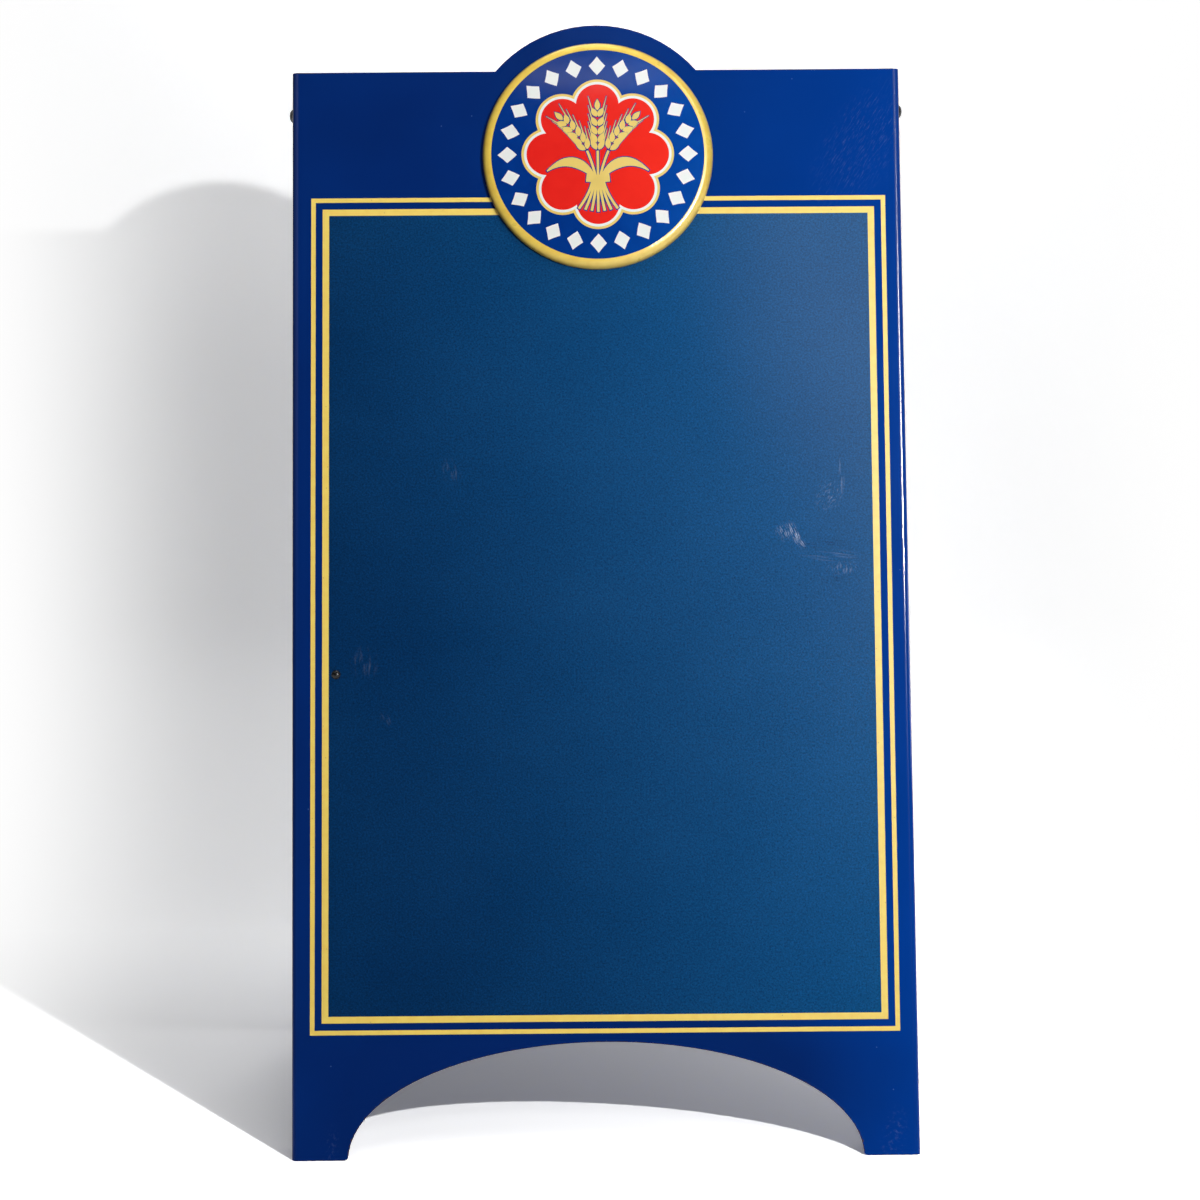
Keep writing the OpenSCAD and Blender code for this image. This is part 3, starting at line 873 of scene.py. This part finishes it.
class SIGN_PG_colours(bpy.types.PropertyGroup):
    """Colours of the finishes."""

    enamel: tint("Enamel", "Navy enamel of the boards", "#003C96")
    # Deep Enamel is painted shade towards the board's left and over the arch, and the navy in the border's
    # pinholes
    enamel_deep: tint("Deep Enamel", "Navy enamel where its film is thick", "#03276A")
    enamel_mark: tint("Enamel Marks", "Chips, hairlines and scuffs in the enamel", "#7F9BD0")
    bare_edge: tint("Bare Edge", "Browned steel along the cut edges", "#4A3A3C")
    film: tint("Chalkboard", "Chalkboard film where it is clean", "#002C58")
    # Dusty Chalkboard is wiped dust together with painted light, paler towards the right
    film_dust_and_light: tint("Dusty Chalkboard", "Chalkboard film under wiped chalk dust", "#055289")
    chalk: tint("Chalk", "Chalk strokes on the board", "#B9C6DD")
    border_gold: tint("Border Gold", "Pale gold ink of the border lines", "#FCDE66")
    border_gold_thin: tint("Thin Border Gold", "Pale gold ink where it is thin", "#F8D45A")
    rim_gold: tint("Rim Gold", "Gold lacquer of the badge's rim", "#FFDE62")
    rim_gold_deep: tint("Deep Rim Gold", "Gold lacquer where it is thick", "#F2C950")
    # Rim Shade is painted shade at the rim's foot, darkest at its upper left
    rim_shade: tint("Rim Brown", "Browned lacquer at the rim's foot", "#33260C")
    # The deep and warm badge colours are the painted shade of each print towards the badge's left
    plate_navy: tint("Badge Navy", "Navy print of the badge", "#0449A4")
    plate_navy_deep: tint("Deep Badge Navy", "Navy print of the badge where it is dense", "#002F80")
    red: tint("Badge Red", "Red print of the badge's field", "#FF3324")
    red_deep: tint("Deep Badge Red", "Red print where it is dense", "#E8241E")
    white: tint("Badge White", "White print of the badge", "#F6F8F6")
    white_warm: tint("Warm Badge White", "White print where it is thin", "#EEF0EC")
    sheaf_gold: tint("Sheaf Gold", "Pale gold print of the badge", "#F4DA84")
    sheaf_gold_deep: tint("Deep Sheaf Gold", "Pale gold print where it is dense", "#EACB6C")
    tape: tint("Foam Tape", "Foam tape behind the badge", "#505458")
    tape_pore: tint("Foam Pores", "Open pores of the foam tape", "#2C2E31")
    black_steel: tint("Black Steel", "Black enamel of screws, rivets and lugs", "#101113")
    black_dust: tint("Dust on Black", "Dust and wear on the black steel", "#3A3B3D")
    zinc: tint("Zinc", "Bright zinc plate of chain, washers and nuts", "#C6CACE")
    zinc_tarnish: tint("Tarnished Zinc", "Zinc plate where it has dulled", "#94999E")
    nylon: tint("Nylon", "Nylon of the washers between the flanges", "#E6E3D8")
    nylon_aged: tint("Aged Nylon", "Nylon where it has yellowed", "#D6CFBC")
    paper: tint("Studio Paper", "Floor and backdrop", "#FAFAFA")


# The pieces


class SIGN_OT_boards(bpy.types.Operator):
    """Enamels the two bent steel boards"""

    bl_idname = "sign.boards"
    bl_label = "Boards"

    def execute(self, context):
        for side in BOARD_SIDES:
            finish_node(f"{side}_panel", stoving_enamel(side, context.scene.sign_colours))
        return {"FINISHED"}


class SIGN_OT_chalk_faces(bpy.types.Operator):
    """Lays the chalkboard film on both boards"""

    bl_idname = "sign.chalk_faces"
    bl_label = "Chalkboard Faces"

    def execute(self, context):
        for side in BOARD_SIDES:
            finish_node(f"{side}_chalkboard", chalkboard_film(side, context.scene.sign_colours))
        return {"FINISHED"}


class SIGN_OT_border_lines(bpy.types.Operator):
    """Prints the narrow and the wide border line on both boards"""

    bl_idname = "sign.border_lines"
    bl_label = "Border Lines"

    def execute(self, context):
        for side in BOARD_SIDES:
            ink = border_ink(side, context.scene.sign_colours)
            finish_node(f"{side}_narrow_border", ink)
            finish_node(f"{side}_wide_border", ink)
        return {"FINISHED"}


class SIGN_OT_badge_bodies(bpy.types.Operator):
    """Finishes the rounded rim, the domed plate and the tape of both badges"""

    bl_idname = "sign.badge_bodies"
    bl_label = "Badge Rims and Plates"

    def execute(self, context):
        colours = context.scene.sign_colours
        tape = closed_cell_tape(colours)
        for side in BOARD_SIDES:
            finish_node(f"{side}_badge_rim", gold_lacquer(side, colours))
            navy = tinplate_print(side, "navy", colours.plate_navy, colours.plate_navy_deep)
            finish_node(f"{side}_badge_plate", navy)
            finish_node(f"{side}_badge_tape", tape)
        return {"FINISHED"}


class SIGN_OT_badge_print(bpy.types.Operator):
    """Prints lozenges, an eight-lobed field and a sheaf of barley on both badges"""

    bl_idname = "sign.badge_print"
    bl_label = "Badge Print"

    def execute(self, context):
        sizes = context.scene.sign_sizes
        colours = context.scene.sign_colours
        lift = sizes.print_lift / MM
        lozenge = (sizes.lozenge_low / MM, sizes.lozenge_high / MM, sizes.lozenge_width / MM / 2)
        gold_line = partial(octofoil, inset=GOLD_INSET)
        white_line = partial(octofoil, inset=WHITE_INSET)
        for side in BOARD_SIDES:
            red = tinplate_print(side, "red", colours.red, colours.red_deep)
            white = tinplate_print(side, "white", colours.white, colours.white_warm)
            gold = tinplate_print(side, "gold", colours.sheaf_gold, colours.sheaf_gold_deep)
            line = tinplate_print(side, "line", colours.plate_navy, colours.plate_navy_deep)
            # Each print's name, its ink, its layer from the plate up, how it is laid and its shape
            prints = (
                ("lozenges", white, 1, lay_lozenges, (sizes.lozenges, *lozenge)),
                ("gold_outline", gold, 1, lay_band, (gold_line, octofoil)),
                ("white_outline", white, 1, lay_band, (white_line, gold_line)),
                ("red_field", red, 1, lay_field, (white_line,)),
                ("sheaf_line", line, 2, lay_sheaf, (LINE_WIDTH,)),
                ("gold_sheaf", gold, 3, lay_sheaf, (0.0,)),
            )
            for name, ink, layer, lay, shape in prints:
                bm = bmesh.new()
                lay(bm, *shape)
                print_on_plate(side, name, bm, layer * lift, ink)
        return {"FINISHED"}


class SIGN_OT_pivots(bpy.types.Operator):
    """Finishes the pivot screws with their spacers, washers and lock nuts"""

    bl_idname = "sign.pivots"
    bl_label = "Pivots"

    def execute(self, context):
        colours = context.scene.sign_colours
        black = black_enamelled_steel(colours)
        zinc = bright_zinc(colours)
        nylon = moulded_nylon(colours)
        for hand in ("left", "right"):
            finish_node(f"pivot_screw_{hand}", black)
            finish_node(f"pivot_spacer_{hand}", nylon)
            finish_node(f"pivot_washer_{hand}", zinc)
            finish_node(f"pivot_nut_{hand}", zinc)
        return {"FINISHED"}


class SIGN_OT_chain_fixings(bpy.types.Operator):
    """Finishes the rivets and lugs that hold the stay chain"""

    bl_idname = "sign.chain_fixings"
    bl_label = "Chain Fixings"

    def execute(self, context):
        black = black_enamelled_steel(context.scene.sign_colours)
        for side in BOARD_SIDES:
            finish_node(f"{side}_chain_rivet", black)
            finish_node(f"{side}_chain_lug", black)
        return {"FINISHED"}


class SIGN_OT_stay_chain(bpy.types.Operator):
    """Forges the stay chain's welded links between the two lugs"""

    bl_idname = "sign.stay_chain"
    bl_label = "Stay Chain"

    def execute(self, context):
        sizes = context.scene.sign_sizes
        low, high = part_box("stay_chain")
        middle = (low + high) / 2
        wire_r = sizes.wire / 2
        mid_r = (high.x - low.x) / 2 - wire_r
        half_length = sizes.link_inside / 2 + wire_r
        step = (high.y - low.y - 2 * (half_length + wire_r)) / (sizes.links - 1)
        path = link_path(half_length, mid_r, 12)
        # The weld is in the middle of a straight side, and thickens the wire by this share
        weld = {len(path) - 1: 0.1, 0: 0.22, 1: 0.1}
        wire_sides = 14
        bm = bmesh.new()
        for i in range(sizes.links):
            verts = lay_wire(bm, path, wire_r, wire_sides, weld)
            turned = Matrix.Rotation(pi / 2 * (i % 2), 4, "Y")
            y = middle.y + (i - (sizes.links - 1) / 2) * step
            placed = Matrix.Translation((middle.x, y, middle.z)) @ turned
            bmesh.ops.transform(bm, matrix=placed, verts=verts)
        chain = piece_from("welded_stay_chain", bm, bright_zinc(context.scene.sign_colours))
        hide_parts("stay_chain")
        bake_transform(chain)
        return {"FINISHED"}


class SIGN_OT_stage(bpy.types.Operator):
    """Builds the plain floor and backdrop, the lamps and the camera"""

    bl_idname = "sign.stage"
    bl_label = "Studio"

    def execute(self, context):
        scene = context.scene
        paper = studio_paper(list(scene.sign_colours.paper), gain=1.48, lift=0.08)
        # Floor, and a backdrop that rises from it in one round sweep
        reach = 40.0
        bm = bmesh.new()
        corners = ((-reach, -reach), (reach, -reach), (reach, reach), (-reach, reach))
        bm.faces.new([bm.verts.new((x, y, 0)) for x, y in corners])
        floor = piece_from("studio_floor", bm, paper, smooth=False)
        wall_y = 1.063
        wall_h = 3.2
        half_w = 4.0
        sweep_r = 0.35
        sweep_steps = 24
        above_floor = 0.0005
        profile = []
        for i in range(sweep_steps + 1):
            a = pi / 2 * i / sweep_steps
            rise = sweep_r * (1 - cos(a)) + above_floor
            profile.append((wall_y - sweep_r * (1 - sin(a)), rise))
        profile.append((wall_y, wall_h))
        bm = bmesh.new()
        left = [bm.verts.new((-half_w, y, z)) for y, z in profile]
        right = [bm.verts.new((half_w, y, z)) for y, z in profile]
        skin_strip(bm, left, right)
        backdrop = piece_from("studio_backdrop", bm, paper, outward=False)

        board = (0, -0.1, 0.6)
        add_lamp("key_lamp", (1.023, -2.168, 1.355), board, size=(0.035, 0.035), watts=34)
        add_lamp("key_glow_lamp", (1.05, -2.2, 1.72), board, size=(0.15, 0.4), watts=4.5)
        add_lamp("long_overhead_lamp", (0.02, -2.1, 2.42), (0, 0, 1), size=(0.75, 0.11), watts=0.9)
        add_lamp("right_overhead_lamp", (0.85, -1.4, 2.4), board, size=(0.7, 0.7), watts=4.8)
        add_lamp("left_overhead_lamp", (-0.75, -1.4, 2.4), board, size=(0.6, 0.6), watts=2.5)
        add_lamp("ceiling_lamp", (0, -0.45, 2.7), (0, 0.1, 0), size=(1.0, 1.0), watts=9)
        add_lamp("rear_lamp", (-0.2, 0.85, 2.25), (0, 0.3, 0.2), size=(0.9, 0.9), watts=15.5)
        add_lamp("right_side_lamp", (0.7, 0, 0.45), (0.15, 0, 0), size=(0.3, 0.3), watts=1.25)
        scene.world = studio_world()

        # The camera as fitted to the photo's outline, its angles in radians
        camera_place = (-0.0242, -3.0527, 0.8848)
        yaw = 0.008
        pitch = 0.1239
        roll = 0.0081
        lens = bpy.data.cameras.new("photo_camera")
        lens.lens = 90.84
        lens.sensor_width = 36.0
        lens.clip_start = 0.05
        camera = bpy.data.objects.new("photo_camera", lens)
        turn = Matrix.Rotation(-yaw, 4, "Z") @ Matrix.Rotation(pi / 2 - pitch, 4, "X")
        turn = turn @ Matrix.Rotation(-roll, 4, "Z")
        camera.matrix_world = Matrix.Translation(camera_place) @ turn
        scene.collection.objects.link(camera)
        scene.camera = camera
        scene.view_settings.view_transform = "Standard"
        return {"FINISHED"}


class SIGN_PT_sidebar(bpy.types.Panel):
    """Lists the sign's pieces"""

    bl_label = "A-frame Sign"
    bl_idname = "SIGN_PT_sidebar"
    bl_space_type = "VIEW_3D"
    bl_region_type = "UI"
    bl_category = "Sign"

    def draw(self, context):
        for operator in OPERATORS:
            self.layout.operator(operator.bl_idname)
        for group in (context.scene.sign_sizes, context.scene.sign_colours):
            for name in group.__annotations__:
                self.layout.prop(group, name)


OPERATORS = (
    SIGN_OT_boards,
    SIGN_OT_chalk_faces,
    SIGN_OT_border_lines,
    SIGN_OT_badge_bodies,
    SIGN_OT_badge_print,
    SIGN_OT_pivots,
    SIGN_OT_chain_fixings,
    SIGN_OT_stay_chain,
    SIGN_OT_stage,
)
CLASSES = (SIGN_PG_sizes, SIGN_PG_colours, *OPERATORS, SIGN_PT_sidebar)


def register():
    for cls in CLASSES:
        bpy.utils.register_class(cls)
    bpy.types.Scene.sign_sizes = PointerProperty(type=SIGN_PG_sizes)
    bpy.types.Scene.sign_colours = PointerProperty(type=SIGN_PG_colours)


def unregister():
    del bpy.types.Scene.sign_colours
    del bpy.types.Scene.sign_sizes
    for cls in reversed(CLASSES):
        bpy.utils.unregister_class(cls)


def main():
    """Builds the whole scene."""
    register()
    bpy.ops.sign.boards()
    bpy.ops.sign.chalk_faces()
    bpy.ops.sign.border_lines()
    bpy.ops.sign.badge_bodies()
    bpy.ops.sign.badge_print()
    bpy.ops.sign.pivots()
    bpy.ops.sign.chain_fixings()
    bpy.ops.sign.stay_chain()
    bpy.ops.sign.stage()


if __name__ == "__main__":
    main()
